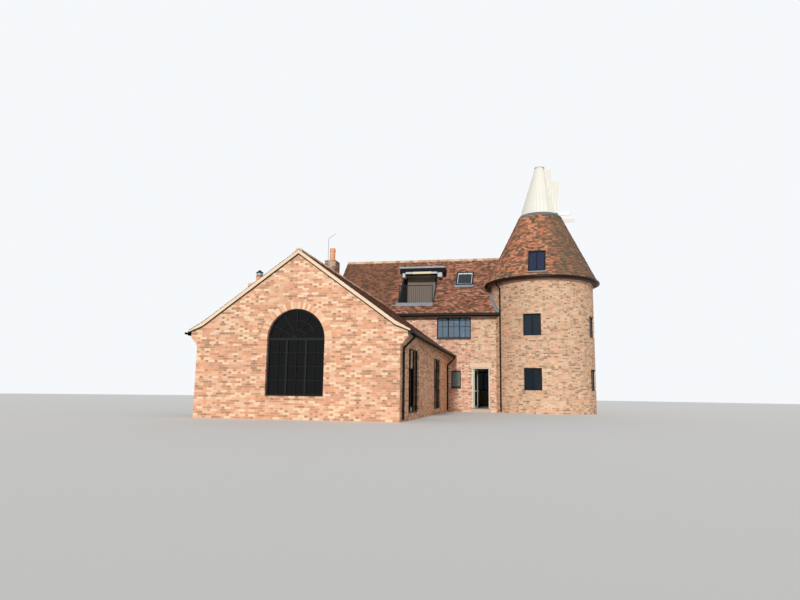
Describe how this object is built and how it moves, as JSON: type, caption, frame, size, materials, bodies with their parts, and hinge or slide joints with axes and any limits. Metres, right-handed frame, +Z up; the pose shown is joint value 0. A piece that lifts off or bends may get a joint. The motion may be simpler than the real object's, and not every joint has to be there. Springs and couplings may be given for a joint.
{
  "type": "converted oast house",
  "caption": "Brick house with a gabled wing, a tiled main block with a roof terrace, and a round kiln tower under a conical roof with a turning cowl.",
  "frame": {"origin": "on the kiln tower's axis at ground level", "axes": "+X to the right along the front, +Y into the site away from the gabled front, +Z up"},
  "size_m": [14.934, 19.368, 12.935],
  "materials": {
    "wing_brick": "rough facing brick",
    "main_brick": "rough weathered brick",
    "wing_tile": "plain clay tile, matt",
    "main_tile": "plain clay tile, matt",
    "tower_tile": "plain clay tile, matt",
    "ridge_tile": "clay ridge tile bedded in mortar",
    "black_metal": "satin black paint",
    "black_plastic": "matt black",
    "black_paint": "black stained board",
    "glazing": "clear glass",
    "door_paint": "pale satin paint",
    "floor_screed": "smooth screed",
    "floor_timber": "sawn timber",
    "sill_stone": "rubbed stone",
    "white_paint": "white painted boards",
    "lead": "dull lead sheet",
    "terracotta": "unglazed terracotta",
    "black_cap": "matt black paint",
    "zinc": "dull aluminium"
  },
  "bodies": {
    "house": {"aerial_mast": "zinc", "arch_window_frame": "black_metal", "back_wall": "main_brick", "chimney_pots": "terracotta", "cowl_beam": "floor_timber", "cowl_curb": "lead", "door_frame": "door_paint", "door_step": "sill_stone", "downpipes": "black_plastic", "fascia_boards": "black_paint", "flue_cap": "black_cap", "front_wall_left": "main_brick", "front_wall_right": "main_brick", "front_wall_upper": "main_brick", "gable_chimney": "main_brick", "gutters": "black_plastic", "left_gable_wall": "main_brick", "main_ground_floor": "floor_screed", "main_roof_back": "main_tile", "main_roof_front": "main_tile", "ridge_tiles": "ridge_tile", "right_gable_wall": "main_brick", "roof_window_frames": "black_metal", "terrace_back_wall": "black_metal", "terrace_canopy": "black_paint", "terrace_cheeks": "floor_timber", "terrace_deck": "floor_timber", "terrace_railing": "black_metal", "terrace_screen": "glazing", "tower_floors": "floor_screed", "tower_roof": "tower_tile", "tower_wall_1": "main_brick", "tower_wall_2": "main_brick", "tower_wall_3": "main_brick", "tower_wall_4": "main_brick", "upper_floors": "floor_timber", "window_frames": "black_metal", "window_glass": "glazing", "window_sills": "black_metal", "wing_chimney": "wing_brick", "wing_floor": "floor_screed", "wing_front_wall": "wing_brick", "wing_left_wall": "wing_brick", "wing_right_wall": "wing_brick", "wing_roof_left": "wing_tile", "wing_roof_right": "wing_tile"},
    "door": {"door_leaf": "door_paint", "door_leaf_glass": "glazing"},
    "cowl": {"cowl_hood": "white_paint", "cowl_cheeks": "white_paint", "cowl_fingers": "white_paint", "cowl_spindle": "floor_timber"}
  },
  "joints": [
    {"name": "door_hinge", "type": "hinge", "parent": "house", "child": "door", "pos_m": [-3.4475, -0.982, 0.18], "axis": [0, 0, 1], "range_deg": [-80, 10]},
    {"name": "cowl_turn", "type": "hinge", "parent": "house", "child": "cowl", "pos_m": [0, 0, 10.165], "axis": [0, 0, 1], "continuous": true}
  ]
}
